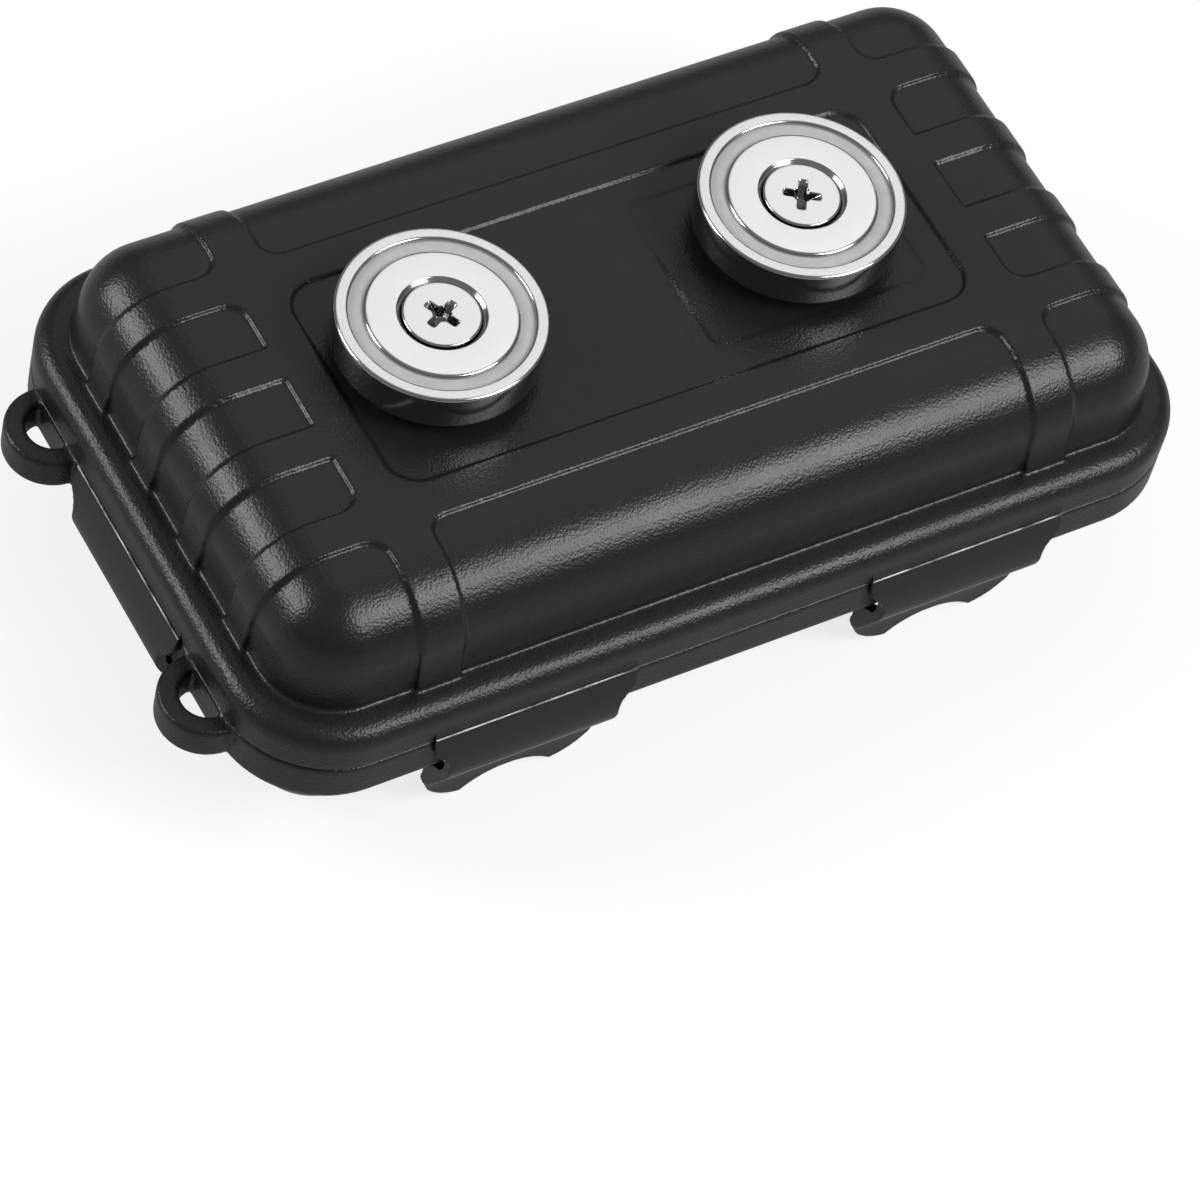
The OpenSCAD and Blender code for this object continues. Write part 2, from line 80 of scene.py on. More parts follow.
def linear(hex_colour):
    """Linear colour of an sRGB hex value."""
    parts = [int(hex_colour[i:i + 2], 16) / 255 for i in (1, 3, 5)]
    return (*[p / 12.92 if p < 0.0405 else ((p + 0.055) / 1.055) ** 2.4 for p in parts], 1)


def add_node(tree, kind, settings=(), links=()):
    """Adds a node; settings go to its sockets or to itself, links come from other sockets."""
    made = tree.nodes.new(kind)
    for key, value in dict(settings).items():
        if isinstance(key, int) or key in made.inputs:
            made.inputs[key].default_value = value
        else:
            setattr(made, key, value)
    for key, source in dict(links).items():
        tree.links.new(source, made.inputs[key])
    return made


def new_finish(name):
    """An empty material, its tree and its output node."""
    made = bpy.data.materials.new(name)
    made.use_nodes = True
    made.node_tree.nodes.clear()
    return made, made.node_tree


def fresh(name, adder, **settings):
    """Adds a primitive at its place and gives it its name."""
    if bpy.context.mode != "OBJECT":
        bpy.ops.object.mode_set(mode="OBJECT")
    bpy.ops.object.select_all(action="DESELECT")
    adder(**settings)
    bpy.context.object.name = bpy.context.object.data.name = name
    return bpy.context.object


floor_size, floor_drop = 6.0, 0.00005
floor = fresh("floor", bpy.ops.mesh.primitive_plane_add, size=floor_size,
    location=(0, 0, -floor_drop))
# Matt paper: what the camera sees is mostly its own plain white, and the rest takes the
# soft shadow. The gloss of the plastic shows the sheet dimmer, as in a dark room.
paper_glow, glow_in_gloss = 0.8, 0.42
paper, tree = new_finish("matt_paper")
ray = add_node(tree, "ShaderNodeLightPath")
seen = add_node(tree, "ShaderNodeMath", {"operation": "ADD"},
    {0: ray.outputs["Is Camera Ray"], 1: ray.outputs["Is Glossy Ray"]})
seen = add_node(tree, "ShaderNodeMath", {"operation": "ADD", "use_clamp": True},
    {0: seen.outputs[0], 1: ray.outputs["Is Transmission Ray"]})
seen = add_node(tree, "ShaderNodeMath", {"operation": "MULTIPLY", 1: paper_glow},
    {0: seen.outputs[0]})
matt = add_node(tree, "ShaderNodeBsdfDiffuse", {"Color": linear("#f4f4f4")})
shown = add_node(tree, "ShaderNodeMapRange", {"To Min": glow_in_gloss, "To Max": 1.0},
    {"Value": ray.outputs["Is Camera Ray"]})
white = add_node(tree, "ShaderNodeEmission", {"Color": linear("#ffffff")},
    {"Strength": shown.outputs[0]})
both = add_node(tree, "ShaderNodeMixShader", (),
    {0: seen.outputs[0], 1: matt.outputs[0], 2: white.outputs[0]})
add_node(tree, "ShaderNodeOutputMaterial", (), {"Surface": both.outputs[0]})
floor.data.materials.append(paper)


def softbox(name, toward, distance, side, radiance):
    """A square lamp that faces the lid from the given direction and doesn't show itself."""
    lamp = bpy.data.lights.new(name, "AREA")
    lamp.shape = "SQUARE"
    lamp.size = side
    lamp.energy = radiance * pi * side * side
    holder = bpy.data.objects.new(name, lamp)
    bpy.context.collection.objects.link(holder)
    way = Vector(toward).normalized()
    holder.location = way * distance + lid_middle
    holder.rotation_euler = way.to_track_quat("Z", "Y").to_euler()
    holder.visible_camera = False


lid_middle = Vector((0, 0, 0.03))
softbox("softbox_front_right", toward=(0.41, -0.59, 0.70), distance=0.9, side=0.47, radiance=11.5)
softbox("softbox_back_left", toward=(-0.75, 0.48, 0.44), distance=0.9, side=0.38, radiance=11.5)
softbox("panel_back_right", toward=(0.41, 0.48, 0.77), distance=1.1, side=1.1, radiance=0.56)

# The room is dim towards the horizon and brighter overhead
room_low, room_high = 0.08, 0.32
room = bpy.data.worlds.new("room")
room.use_nodes = True
ceiling = add_node(room.node_tree, "ShaderNodeTexCoord")
ceiling = add_node(room.node_tree, "ShaderNodeSeparateXYZ", (), {0: ceiling.outputs["Generated"]})
ceiling = add_node(room.node_tree, "ShaderNodeMapRange", {"From Min": 0.0, "From Max": 0.75,
    "To Min": room_low, "To Max": room_high}, {"Value": ceiling.outputs["Z"]})
room.node_tree.nodes["Background"].inputs["Color"].default_value = linear("#f2f2f2")
room.node_tree.links.new(ceiling.outputs[0],
    room.node_tree.nodes["Background"].inputs["Strength"])
bpy.context.scene.world = room
bpy.context.scene.view_settings.view_transform = "Standard"

# ---- Base shell -----------------------------------------------------------
# Lower half of the box, moulded in black polypropylene with its rim, its ribs
# and the two lanyard loops. The body is etched like fine leather.


def hold(piece):
    """Makes a piece the only selected and active object."""
    if bpy.context.mode != "OBJECT":
        bpy.ops.object.mode_set(mode="OBJECT")
    bpy.ops.object.select_all(action="DESELECT")
    piece.select_set(True)
    bpy.context.view_layer.objects.active = piece


def finish_with(piece, kind, **settings):
    """Adds a modifier and applies it."""
    hold(piece)
    step = piece.modifiers.new(kind.lower(), kind)
    for key, value in settings.items():
        setattr(step, key, value)
    bpy.ops.object.modifier_apply(modifier=step.name)


weld = 0.000002
crisp_reach = 0.0008


def moulded_copy(node, name, grid, rounds, crisp=(), most=190000):
    """A CAD node's form, its edges rounded as by a mould, and by less at the crisp heights."""
    piece = bpy.data.objects.new(name, frame["nodes"][node].data.copy())
    piece.data.name = name
    bpy.context.collection.objects.link(piece)
    hold(piece)
    bpy.ops.mesh.customdata_custom_splitnormals_clear()
    bpy.ops.object.mode_set(mode="EDIT")
    bpy.ops.mesh.select_all(action="SELECT")
    bpy.ops.mesh.remove_doubles(threshold=weld)
    bpy.ops.object.mode_set(mode="OBJECT")
    finish_with(piece, "REMESH", mode="VOXEL", voxel_size=grid)
    soft = piece.vertex_groups.new(name="soft")
    soft.add(range(len(piece.data.vertices)), 1.0, "REPLACE")
    for level, share in dict(crisp).items():
        soft.add([corner.index for corner in piece.data.vertices
            if abs(corner.co.z - level) < crisp_reach], share, "REPLACE")
    finish_with(piece, "SMOOTH", factor=0.5, iterations=rounds, vertex_group="soft")
    piece.vertex_groups.clear()
    faces = sum(len(face.vertices) - 2 for face in piece.data.polygons)
    if faces > most:
        finish_with(piece, "DECIMATE", ratio=most / faces)
    bpy.ops.object.shade_smooth()
    finish_with(piece, "WEIGHTED_NORMAL", mode="FACE_AREA", keep_sharp=True)
    piece.data.materials.clear()
    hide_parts(node)
    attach(piece, frame["nodes"][node]["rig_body"])
    return piece


# Etched polypropylene: dark, with a broad soft gloss that the pebbled grain breaks up.
# Between the two rim heights the grain is coarser and a little duller from wear.
grain_pitch, grain_depth, rim_grain = 0.00033, 0.58, 1.35
rim_low, rim_high, rim_fade = 0.0118, 0.0246, 0.0008
plastic, tree = new_finish("etched_polypropylene")
place = add_node(tree, "ShaderNodeTexCoord").outputs["Object"]
warp = add_node(tree, "ShaderNodeTexNoise", {"Scale": 1 / 0.0012, "Detail": 2.0}, {"Vector": place})
warped = add_node(tree, "ShaderNodeVectorMath", {"operation": "SCALE", "Scale": 0.00035},
    {0: warp.outputs["Color"]})
warped = add_node(tree, "ShaderNodeVectorMath", {"operation": "ADD"},
    {0: place, 1: warped.outputs[0]})
pebble = add_node(tree, "ShaderNodeTexVoronoi", {"feature": "SMOOTH_F1", "Scale": 1 / grain_pitch,
    "Smoothness": 0.6}, {"Vector": warped.outputs[0]})
fine = add_node(tree, "ShaderNodeTexNoise", {"Scale": 1 / 0.00025, "Detail": 3.0},
    {"Vector": place})
height = add_node(tree, "ShaderNodeMath", {"operation": "MULTIPLY_ADD", 1: 0.35},
    {0: fine.outputs["Fac"], 2: pebble.outputs["Distance"]})
level = add_node(tree, "ShaderNodeSeparateXYZ", (), {0: place}).outputs["Z"]
above = add_node(tree, "ShaderNodeMapRange", {"From Min": rim_high - rim_fade,
    "From Max": rim_high, "To Min": rim_grain, "To Max": 1.0}, {"Value": level})
below = add_node(tree, "ShaderNodeMapRange", {"From Min": rim_low,
    "From Max": rim_low + rim_fade, "To Min": 1.0, "To Max": rim_grain}, {"Value": level})
etched = add_node(tree, "ShaderNodeMath", {"operation": "MINIMUM"},
    {0: above.outputs[0], 1: below.outputs[0]})
depth = add_node(tree, "ShaderNodeMath", {"operation": "MULTIPLY", 1: grain_depth},
    {0: etched.outputs[0]})
grain = add_node(tree, "ShaderNodeBump", {"Distance": 0.00006},
    {"Height": height.outputs[0], "Strength": depth.outputs[0]})
cloudy = add_node(tree, "ShaderNodeTexNoise", {"Scale": 1 / 0.009, "Detail": 3.0},
    {"Vector": place})
gloss = add_node(tree, "ShaderNodeMapRange", {"From Min": 0.3, "From Max": 0.7,
    "To Min": 0.28, "To Max": 0.34}, {"Value": cloudy.outputs["Fac"]})
worn = add_node(tree, "ShaderNodeMapRange", {"From Min": 1.0, "From Max": rim_grain,
    "To Min": 0.0, "To Max": 0.05}, {"Value": etched.outputs[0]})
gloss = add_node(tree, "ShaderNodeMath", {"operation": "ADD"},
    {0: gloss.outputs[0], 1: worn.outputs[0]})
skin = add_node(tree, "ShaderNodeBsdfPrincipled", {"Base Color": linear("#191919"), "IOR": 1.49,
    "Specular IOR Level": 0.32},
    {"Roughness": gloss.outputs[0], "Normal": grain.outputs[0]})
add_node(tree, "ShaderNodeOutputMaterial", (), {"Surface": skin.outputs[0]})

shell_grid = 0.00022
base = moulded_copy("base_shell", "base_moulding", shell_grid, 5)
base.data.materials.append(plastic)

# ---- Lid shell --------------------------------------------------------------
# Upper half, of the same moulding: rim, bands, ribs between recessed panels and
# a shallow field round the magnets. The mould softens its edges, the panels' least.
panel_top = 0.0382
lid = moulded_copy("lid_shell", "lid_moulding", shell_grid, 9, {panel_top: 0.35, rim_high: 0.75})
lid.data.materials.append(plastic)

# ---- Latches ----------------------------------------------------------------
# Four swing latches moulded on to the lid rim by a film hinge. Each plate laps the
# rims, curls in under the base rim and ends in two lobes with a finger notch.


def join_all(first, *others):
    """Joins the other pieces into the first one."""
    hold(first)
    for other in others:
        other.select_set(True)
    bpy.ops.object.join()
    return first


def cut_away(piece, cutter):
    """Takes the cutter's form out of a piece and removes the cutter."""
    finish_with(piece, "BOOLEAN", operation="DIFFERENCE", solver="EXACT", object=cutter)
    bpy.data.objects.remove(cutter)


def point_ring(name, points, push):
    """A flat ring of points, filled and pushed out into a plate."""
    piece = fresh(name, bpy.ops.mesh.primitive_circle_add, vertices=len(points), fill_type="NGON")
    for corner, point in zip(piece.data.vertices, points):
        corner.co = point
    bpy.ops.object.mode_set(mode="EDIT")
    bpy.ops.mesh.select_all(action="SELECT")
    bpy.ops.mesh.extrude_region_move(TRANSFORM_OT_translate={"value": push})
    bpy.ops.mesh.select_all(action="SELECT")
    bpy.ops.mesh.normals_make_consistent(inside=False)
    bpy.ops.object.mode_set(mode="OBJECT")
    return piece


def copy_of(piece, name, place):
    """A copy of a piece with a mesh of its own, moved to its place within that mesh."""
    twin = bpy.data.objects.new(name, piece.data.copy())
    twin.data.name = name
    twin.data.transform(place)
    bpy.context.collection.objects.link(twin)
    return twin


# Smooth polypropylene: the latches come from a polished part of the mould, so their gloss
# is as soft as the shells' but has no grain.
smooth = plastic.copy()
smooth.name = "smooth_polypropylene"
for node in smooth.node_tree.nodes:
    if node.type == "BUMP":
        smooth.node_tree.links.remove(node.inputs["Strength"].links[0])
        node.inputs["Strength"].default_value = 0.15
mm = 0.001
plate_thick, root_thick, plate_root = 1.4, 0.35, 0.12
lobe_half = 11.2
# Out from the rim, up from the parting plane, half width
plate_rows = [(plate_root, 0.62, 13.3), (0.36, 0.60, 13.3), (0.50, 0.30, 13.3),
    (0.62, -0.20, 13.3), (0.80, -0.90, 13.3), (0.98, -1.60, 13.2), (1.15, -2.35, 12.6),
    (1.28, -3.05, 11.9), (1.40, -3.80, 11.4), (1.48, -4.60, 11.2), (1.50, -5.60, 11.2),
    (1.38, -6.60, 11.2), (1.02, -7.55, 11.2), (0.54, -8.45, 11.2), (0.00, -9.45, 11.2),
    (-0.56, -10.45, 11.2), (-1.12, -11.45, 11.2), (-1.62, -12.40, 11.2), (-1.97, -13.00, 11.2),
    (-2.15, -13.50, 11.1), (-2.22, -14.30, 10.8), (-2.26, -15.10, 10.3), (-2.28, -15.80, 9.6),
    (-2.30, -16.50, 8.7), (-2.30, -16.95, 7.8), (-2.30, -17.30, 6.8), (-2.30, -17.45, 6.0)]
latch = fresh("latch", bpy.ops.mesh.primitive_plane_add, size=1)
for corner in latch.data.vertices:
    out, up, half = plate_rows[0 if corner.co.y > 0 else 1]
    side = 1 if corner.co.x > 0 else -1
    corner.co = (side * half * mm, -out * mm, up * mm)
between_rows = -0.3 * mm
low = [corner.index for corner in latch.data.vertices if corner.co.y < between_rows]
for edge in latch.data.edges:
    edge.select = set(edge.vertices) == set(low)
for part in (*latch.data.vertices, *latch.data.polygons):
    part.select = False
for index in low:
    latch.data.vertices[index].select = True
bpy.context.tool_settings.mesh_select_mode = (False, True, False)
bpy.ops.object.mode_set(mode="EDIT")
for (out, up, half), (next_out, next_up, next_half) in zip(plate_rows[1:], plate_rows[2:]):
    bpy.ops.mesh.extrude_region_move(
        TRANSFORM_OT_translate={"value": (0, (out - next_out) * mm, (next_up - up) * mm)})
    bpy.ops.transform.resize(value=(next_half / half, 1, 1), center_override=(0, 0, 0))
bpy.ops.mesh.select_all(action="SELECT")
bpy.ops.mesh.normals_make_consistent(inside=False)
bpy.ops.object.mode_set(mode="OBJECT")
if sum(face.normal.y * face.area for face in latch.data.polygons) > 0:
    latch.data.flip_normals()
# The plate is a wedge down to the rim's lower edge, and its inner face lies flat on the rims
wedge_end = -4.5
wedge = latch.vertex_groups.new(name="wedge")
for corner in latch.data.vertices:
    out, up = -corner.co.y / mm, corner.co.z / mm
    thick = plate_thick if up < wedge_end else max(root_thick, out - plate_root)
    wedge.add([corner.index], min(1, thick / plate_thick), "REPLACE")
finish_with(latch, "SOLIDIFY", thickness=plate_thick * mm, offset=-1, vertex_group="wedge")
notch_half, notch_deep = 5.9, 2.3
notch_r = (notch_half ** 2 + notch_deep ** 2) / (2 * notch_deep)
cut_away(latch, fresh("notch", bpy.ops.mesh.primitive_cylinder_add, vertices=96,
    radius=notch_r * mm, depth=12 * mm, rotation=(pi / 2, 0, 0),
    location=(0, 2 * mm, (plate_rows[-1][1] - notch_r + notch_deep) * mm)))
# Cheeks close the curl at both ends; a bar between them snaps under the base rim.
cheek_t = 1.5
cheek_side = [(0.6, -6.9), (-0.5, -7.3), (-1.8, -8.2), (-2.9, -9.5), (-3.4, -11.3), (-3.6, -13.2),
    (-2.8, -13.5), (-2.1, -12.5), (-1.1, -10.7), (-0.2, -9.0)]
cheeks = [point_ring(f"cheek_{side}", [(side * lobe_half * mm, -out * mm, up * mm)
    for out, up in cheek_side], (-side * cheek_t * mm, 0, 0)) for side in (-1, 1)]
bar = fresh("snap_bar", bpy.ops.mesh.primitive_cylinder_add, vertices=24, radius=0.5 * mm,
    depth=18.8 * mm, rotation=(0, pi / 2, 0), location=(0, 0.1 * mm, -6.75 * mm))
join_all(latch, *cheeks, bar)
finish_with(latch, "REMESH", mode="VOXEL", voxel_size=0.14 * mm)
finish_with(latch, "SMOOTH", factor=0.5, iterations=4)
finish_with(latch, "DECIMATE", ratio=0.3)
hold(latch)
bpy.ops.object.shade_smooth()
# On the short sides the lobes are tucked in further under the plate
tucked = copy_of(latch, "latch_tucked", Matrix())
fold, fold_top, fold_height, fold_angle = Vector((0, 2.07 * mm, -13.2 * mm)), -12.6, 2.0, 26
for corner in tucked.data.vertices:
    share = min(1, max(0, fold_top - corner.co.z / mm) / fold_height)
    corner.co = fold + Matrix.Rotation(radians(fold_angle) * share, 3, "X") @ (corner.co - fold)
rim_y, rim_x, parting, latch_x = 36.5, 63.0, 18.4, 29.1
latch_seats = {
    "latch_front_left": (latch, "front_latch_left", (-latch_x, -rim_y, parting), 0),
    "latch_front_right": (latch, "front_latch_right", (latch_x, -rim_y, parting), 0),
    "latch_left": (tucked, "side_latch_left", (-rim_x, 0, parting), -90),
    "latch_right": (tucked, "side_latch_right", (rim_x, 0, parting), 90)}
for node, (form, body, seat, angle) in latch_seats.items():
    place = Matrix.Translation(Vector(seat) * mm) @ Matrix.Rotation(radians(angle), 4, "Z")
    piece = copy_of(form, node + "_moulding", place)
    piece.data.materials.clear()
    piece.data.materials.append(smooth)
    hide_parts(node)
    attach(piece, body)

# Stretched polypropylene: the bent film is patchy, from dark to whitish, partly as stress whitening
# where it stretched most and partly as a painted highlight along the fold.
film_long, film_r, film_out, film_up = 26.4, 0.09, 0.30, 0.70
pale, tree = new_finish("stretched_polypropylene_painted_highlight")
place = add_node(tree, "ShaderNodeTexCoord").outputs["Object"]
patch = add_node(tree, "ShaderNodeTexNoise", {"Scale": 1 / 0.0032, "Detail": 4.0},
    {"Vector": place})
# Whitish patches are part stress whitening and part a painted highlight on the hinge line
whitening_and_painted_highlight = add_node(tree, "ShaderNodeMapRange", {"From Min": 0.40, "From Max": 0.62},
    {"Value": patch.outputs["Fac"]})
tone = add_node(tree, "ShaderNodeMix", {"data_type": "RGBA", 6: linear("#4a4a4b"),
    7: linear("#dededc")}, {0: whitening_and_painted_highlight.outputs[0]})
skin = add_node(tree, "ShaderNodeBsdfPrincipled", {"Roughness": 0.4, "IOR": 1.49},
    {"Base Color": tone.outputs[2]})
add_node(tree, "ShaderNodeOutputMaterial", (), {"Surface": skin.outputs[0]})
film = fresh("film", bpy.ops.mesh.primitive_cylinder_add, vertices=12, radius=film_r * mm,
    depth=film_long * mm, rotation=(0, pi / 2, 0), location=(0, -film_out * mm, film_up * mm))
bpy.ops.object.transform_apply(location=True, rotation=True)
finish_with(film, "BEVEL", width=0.04 * mm, segments=2, limit_method="ANGLE")
bpy.ops.object.shade_smooth_by_angle(angle=radians(40))
film.data.materials.append(pale)
# Above it the lid's rim runs down flush to the film
lip_side = [(-0.30, 2.1), (-0.01, 2.1), (0.06, 1.6), (0.18, 0.84), (-0.10, 0.80)]
lip = point_ring("lip", [(-film_long / 2 * mm, -out * mm, up * mm) for out, up in lip_side],
    (film_long * mm, 0, 0))
lip.data.materials.append(plastic)
for node, (form, body, seat, angle) in latch_seats.items():
    place = Matrix.Translation(Vector(seat) * mm) @ Matrix.Rotation(radians(angle), 4, "Z")
    for part, name in {film: "_film", lip: "_lip"}.items():
        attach(copy_of(part, node + name, place), "lid")
for part in (latch, tucked, film, lip):
    bpy.data.objects.remove(part)

# ---- Hinge strip --------------------------------------------------------------
# A long film hinge of the same polypropylene joins the rims on the far side. It
# has the rims' soft gloss and grain, because it is moulded with them.
hinge = frame["nodes"]["hinge_strip"]
hinge.data.materials.clear()
hinge.data.materials.append(plastic)

# ---- Rim seal -------------------------------------------------------------------
# An extruded rubber cord pressed into a groove of the lid rim, its two ends meeting
# at a butt joint on the hinge side. Rubber: black, with a greasy, dusty half gloss.
rubber, tree = new_finish("extruded_rubber")
place = add_node(tree, "ShaderNodeTexCoord").outputs["Object"]
dust = add_node(tree, "ShaderNodeTexNoise", {"Scale": 1 / 0.0009, "Detail": 5.0}, {"Vector": place})
gloss = add_node(tree, "ShaderNodeMapRange", {"To Min": 0.38, "To Max": 0.62},
    {"Value": dust.outputs["Fac"]})
rough = add_node(tree, "ShaderNodeBump", {"Strength": 0.25, "Distance": 0.00004},
    {"Height": dust.outputs["Fac"]})
skin = add_node(tree, "ShaderNodeBsdfPrincipled", {"Base Color": linear("#0f0f10"), "IOR": 1.45},
    {"Roughness": gloss.outputs[0], "Normal": rough.outputs[0]})
add_node(tree, "ShaderNodeOutputMaterial", (), {"Surface": skin.outputs[0]})
for node in ("lid_gasket", "seal_washer_left", "seal_washer_right"):
    frame["nodes"][node].data.materials.clear()
    frame["nodes"][node].data.materials.append(rubber)

# ---- Foam pads -----------------------------------------------------------------
# Two blocks of black open-cell foam, knife-cut to the cavities and pressed in. The
# cut face is full of tiny cells, whose struts are painted lighter as glints of light and
# whose hollows are painted darker as shade; the edges are soft.
cell = 0.00055
foam, tree = new_finish("open_cell_foam")
place = add_node(tree, "ShaderNodeTexCoord").outputs["Object"]
cells = add_node(tree, "ShaderNodeTexVoronoi", {"feature": "DISTANCE_TO_EDGE", "Scale": 1 / cell},
    {"Vector": place})
struts = add_node(tree, "ShaderNodeMapRange", {"From Min": 0.02, "From Max": 0.22, "To Min": 1.0,
    "To Max": 0.0}, {"Value": cells.outputs["Distance"]})
flecks = add_node(tree, "ShaderNodeTexNoise", {"Scale": 1 / 0.0007, "Detail": 4.0},
    {"Vector": place})
painted_glint = add_node(tree, "ShaderNodeMapRange", {"From Min": 0.5, "From Max": 0.72},
    {"Value": flecks.outputs["Fac"]})
# Painted light: struts lighter where the noise gives glints, cell hollows dark as shade
bright = add_node(tree, "ShaderNodeMath", {"operation": "MULTIPLY"},
    {0: struts.outputs[0], 1: painted_glint.outputs[0]})
tone = add_node(tree, "ShaderNodeMix", {"data_type": "RGBA", 6: linear("#1c1c1d"),
    7: linear("#6a6a6c")}, {0: bright.outputs[0]})
hollow = add_node(tree, "ShaderNodeBump", {"Strength": 0.8, "Distance": 0.00025},
    {"Height": struts.outputs[0]})
skin = add_node(tree, "ShaderNodeBsdfPrincipled", {"Roughness": 0.85, "IOR": 1.45},
    {"Base Color": tone.outputs[2], "Normal": hollow.outputs[0]})
add_node(tree, "ShaderNodeOutputMaterial", (), {"Surface": skin.outputs[0]})


def foam_pad(node, name):
    """A foam block in the space of its CAD solid, with the soft uneven edges of a knife cut."""
    piece = bpy.data.objects.new(name, frame["nodes"][node].data.copy())
    piece.data.name = name
    bpy.context.collection.objects.link(piece)
    hold(piece)
    bpy.ops.mesh.customdata_custom_splitnormals_clear()
    bpy.ops.object.mode_set(mode="EDIT")
    bpy.ops.mesh.select_all(action="SELECT")
    bpy.ops.mesh.remove_doubles(threshold=weld)
    bpy.ops.object.mode_set(mode="OBJECT")
    finish_with(piece, "REMESH", mode="VOXEL", voxel_size=0.7 * mm)
    finish_with(piece, "SMOOTH", factor=0.5, iterations=5)
    waves = bpy.data.textures.new(name + "_waves", "CLOUDS")
    waves.noise_scale = 6 * mm
    finish_with(piece, "DISPLACE", texture=waves, texture_coords="LOCAL", mid_level=1.0,
        strength=0.35 * mm)
    hold(piece)
    bpy.ops.object.shade_smooth()
    piece.data.materials.clear()
    piece.data.materials.append(foam)
    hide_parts(node)
    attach(piece, frame["nodes"][node]["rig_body"])


foam_pad("base_foam", "base_pad")
foam_pad("lid_foam", "lid_pad")

# ---- Pot magnets ----------------------------------------------------------------
# A turned and nickel-plated steel cup holds a plated ring magnet; grey potting
# fills the gap between them. Flat faces are satin, edges and sides are bright with gloss,
# and the colour of the sides and edges is painted darker as shade.


# Height over which the painted shade in a screw recess fades in
recess_shade_fade = 0.0005


def nickel_finish(name, centre, satin, depth=None, pitted=False):
    """Plated metal with faint turning marks round its centre and satin flat faces, its sides
    and edges painted darker as shade; it can be painted darker below a depth, as shade in
    a recess, and pitted on its flat faces, as a pressed cup is."""
    made, tree = new_finish(name)
    place = add_node(tree, "ShaderNodeTexCoord")
    centred = add_node(tree, "ShaderNodeMapping", {"Location": (-centre[0], -centre[1], 0)},
        {"Vector": place.outputs["Object"]})
    lathe = add_node(tree, "ShaderNodeTexWave", {"wave_type": "RINGS", "rings_direction": "Z",
        "Scale": 0.314 / 0.00022, "Distortion": 0.4, "Detail": 2.0}, {"Vector": centred.outputs[0]})
    spots = add_node(tree, "ShaderNodeTexNoise", {"Scale": 1 / 0.0011, "Detail": 4.0},
        {"Vector": place.outputs["Object"]})
    flat = add_node(tree, "ShaderNodeSeparateXYZ", (), {0: place.outputs["Normal"]})
    flat = add_node(tree, "ShaderNodeMapRange", {"From Min": 0.94, "From Max": 0.995},
        {"Value": flat.outputs["Z"]})
    uneven = add_node(tree, "ShaderNodeMapRange", {"To Min": satin - 0.05, "To Max": satin + 0.05},
        {"Value": spots.outputs["Fac"]})
    gloss = add_node(tree, "ShaderNodeMix", {"data_type": "FLOAT", 2: 0.13},
        {0: flat.outputs[0], 3: uneven.outputs[0]})
    marks = add_node(tree, "ShaderNodeBump", {"Strength": 0.2, "Distance": 0.00001},
        {"Height": lathe.outputs["Fac"]})
    # Sides and edges are painted darker than the flat faces, as shade
    plating_with_painted_shade = add_node(tree, "ShaderNodeMix", {"data_type": "RGBA", 6: linear("#b4b2af"),
        7: linear("#fcfbf9")}, {0: flat.outputs[0]})
    shine = add_node(tree, "ShaderNodeBsdfPrincipled", {"Metallic": 1.0},
        {"Base Color": plating_with_painted_shade.outputs[2], "Roughness": gloss.outputs[0], "Normal": marks.outputs[0]})
    # Below the recess top the colour is painted darker, as shade in the recess
    if depth is not None:
        level = add_node(tree, "ShaderNodeSeparateXYZ", (), {0: place.outputs["Object"]})
        inside = add_node(tree, "ShaderNodeMapRange",
            {"From Min": depth - recess_shade_fade, "From Max": depth}, {"Value": level.outputs["Z"]})
        tone = add_node(tree, "ShaderNodeMix", {"data_type": "RGBA", 6: linear("#7a7977")},
            {0: inside.outputs[0], 7: plating_with_painted_shade.outputs[2]})
        tree.links.new(tone.outputs[2], shine.inputs["Base Color"])
    if pitted:
        sand = add_node(tree, "ShaderNodeTexNoise", {"Scale": 1 / 0.0004, "Detail": 2.0},
            {"Vector": place.outputs["Object"]})
        deep = add_node(tree, "ShaderNodeMath", {"operation": "MULTIPLY", 1: 0.7},
            {0: flat.outputs[0]})
        sand = add_node(tree, "ShaderNodeBump", {"Distance": 0.0001},
            {"Height": sand.outputs["Fac"], "Strength": deep.outputs[0],
            "Normal": marks.outputs[0]})
        tree.links.new(sand.outputs[0], shine.inputs["Normal"])
    add_node(tree, "ShaderNodeOutputMaterial", (), {"Surface": shine.outputs[0]})
    return made


# Grey epoxy: a light, slightly cloudy resin with a half gloss, duller than the metal.
potting, tree = new_finish("grey_epoxy")
place = add_node(tree, "ShaderNodeTexCoord").outputs["Object"]
flow = add_node(tree, "ShaderNodeTexNoise", {"Scale": 1 / 0.0016, "Detail": 3.0}, {"Vector": place})
tone = add_node(tree, "ShaderNodeMix", {"data_type": "RGBA", 6: linear("#989897"),
    7: linear("#b2b2b1")}, {0: flow.outputs["Fac"]})
skin = add_node(tree, "ShaderNodeBsdfPrincipled", {"Roughness": 0.42, "IOR": 1.5},
    {"Base Color": tone.outputs[2]})
add_node(tree, "ShaderNodeOutputMaterial", (), {"Surface": skin.outputs[0]})


arc_steps, turn_steps = 6, 160


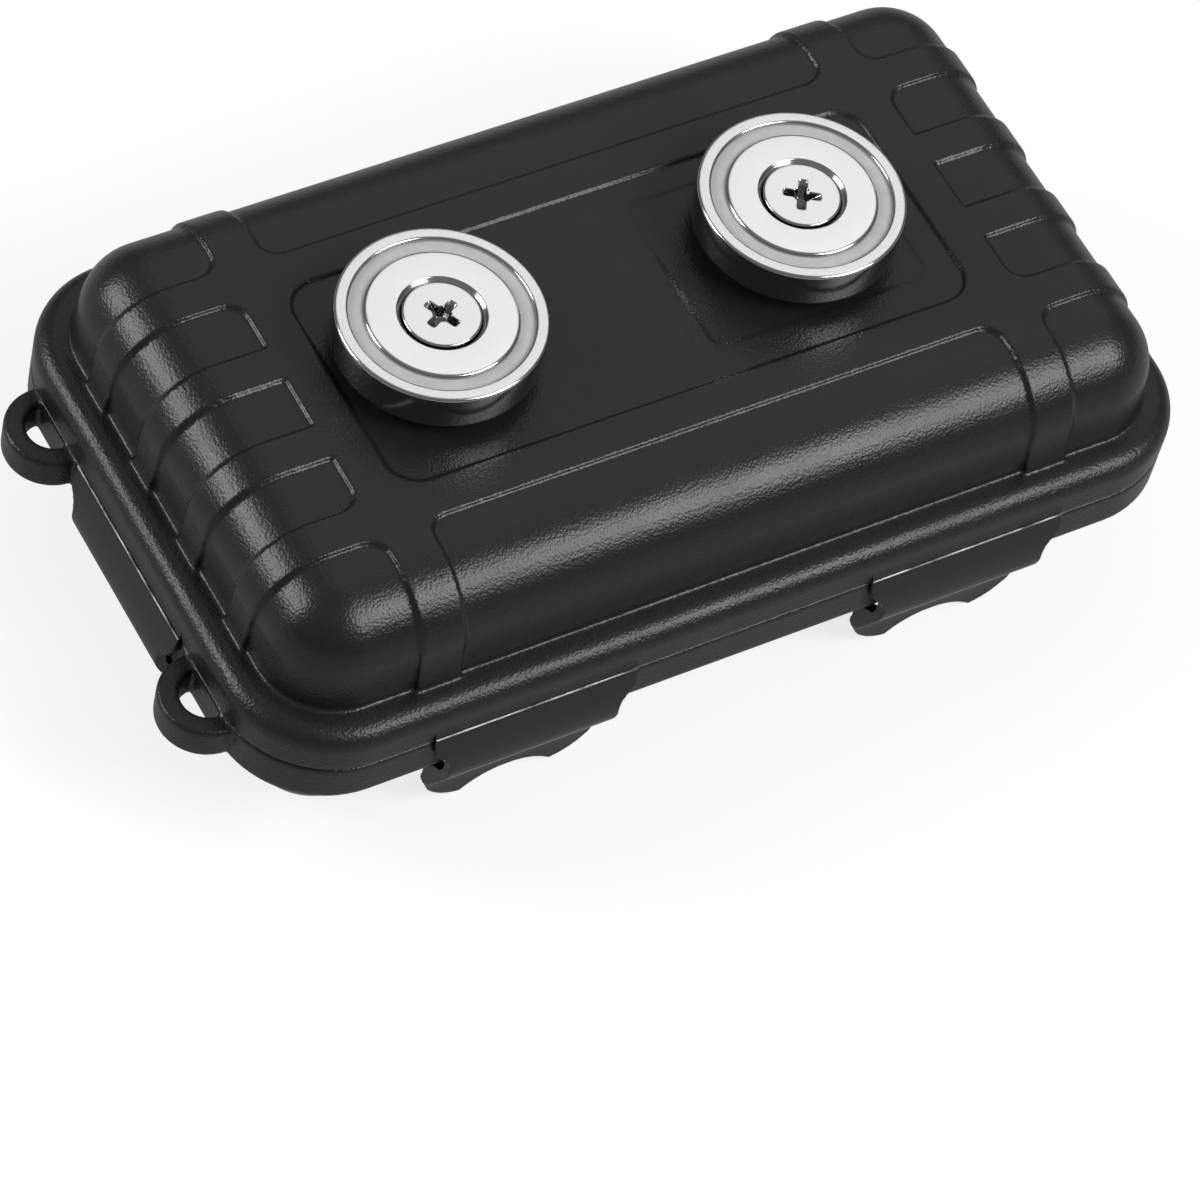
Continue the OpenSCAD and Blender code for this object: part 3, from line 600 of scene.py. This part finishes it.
def turned(name, outline, centre):
    """Spins a closed outline round an upright axis; its corners are radius, height and rounding."""
    ring = []
    for index, (radius, height, ease) in enumerate(outline):
        corner = Vector((radius, height))
        back = (Vector(outline[index - 1][:2]) - corner).normalized() * ease
        onward = (Vector(outline[(index + 1) % len(outline)][:2]) - corner).normalized() * ease
        for step in range(arc_steps + 1 if ease else 1):
            share = step / arc_steps
            ring.append(corner + back * (1 - share) ** 2 + onward * share ** 2)
    piece = fresh(name, bpy.ops.mesh.primitive_circle_add, vertices=len(ring), fill_type="NOTHING")
    for corner, point in zip(piece.data.vertices, ring):
        corner.co = (centre[0] + point[0] * mm, centre[1], point[1] * mm)
    bpy.ops.object.mode_set(mode="EDIT")
    bpy.ops.mesh.select_all(action="SELECT")
    bpy.ops.mesh.spin(steps=turn_steps, angle=2 * pi, center=(*centre, 0), axis=(0, 0, 1))
    bpy.ops.mesh.select_all(action="SELECT")
    bpy.ops.mesh.remove_doubles(threshold=weld)
    bpy.ops.mesh.normals_make_consistent(inside=False)
    bpy.ops.object.mode_set(mode="OBJECT")
    bpy.ops.object.shade_smooth_by_angle(angle=radians(35))
    return piece


cup_under, cup_floor, cup_face = 40.2, 41.4, 45.2
cup_r, cup_inner_r, ring_r, sink_r, hole_r = 12.5, 10.8, 9.15, 5.3, 2.75
cup_outline = [(hole_r, cup_under, 0.2), (cup_r, cup_under, 0.35), (cup_r, cup_face, 0.5),
    (cup_inner_r, cup_face, 0.45), (cup_inner_r, cup_floor, 0), (hole_r, cup_floor, 0)]
ring_outline = [(hole_r, cup_floor, 0), (ring_r, cup_floor, 0), (ring_r, cup_face, 0.6),
    (sink_r, cup_face, 0.12), (hole_r, cup_face - sink_r + hole_r, 0)]
cup_satin, ring_satin, head_satin = 0.42, 0.58, 0.54
magnet_centres = {"left": (-0.0259, 0.0008), "right": (0.0221, 0.0008)}
for side, centre in magnet_centres.items():
    for node, outline, satin in (("cup_", cup_outline, cup_satin),
            ("ring_magnet_", ring_outline, ring_satin)):
        piece = turned(node + side + "_turned", outline, centre)
        piece.data.materials.append(nickel_finish("nickel_" + node + side, centre, satin,
            pitted=node == "cup_"))
        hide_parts(node + side)
        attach(piece, "lid")
    frame["nodes"]["potting_" + side].data.materials.clear()
    frame["nodes"]["potting_" + side].data.materials.append(potting)

# ---- Screws, washers and nuts ------------------------------------------------------
# Countersunk steel screws with a cross recess clamp the magnets to the lid. Flat
# washers and lock nuts under the foam take them; all are zinc-plated. Bright zinc:
# a satin head with sharp light edges, and painted darker in the recess as shade.
recess_top, screw_grid = 0.0449, 0.0001
for side, centre in magnet_centres.items():
    plated = nickel_finish("bright_zinc_" + side, centre, head_satin, recess_top)
    screw = moulded_copy("screw_" + side, "screw_" + side + "_headed", screw_grid, 3, most=60000)
    screw.data.materials.append(plated)
    for node in ("flat_washer_", "lock_nut_"):
        frame["nodes"][node + side].data.materials.clear()
        frame["nodes"][node + side].data.materials.append(plated)
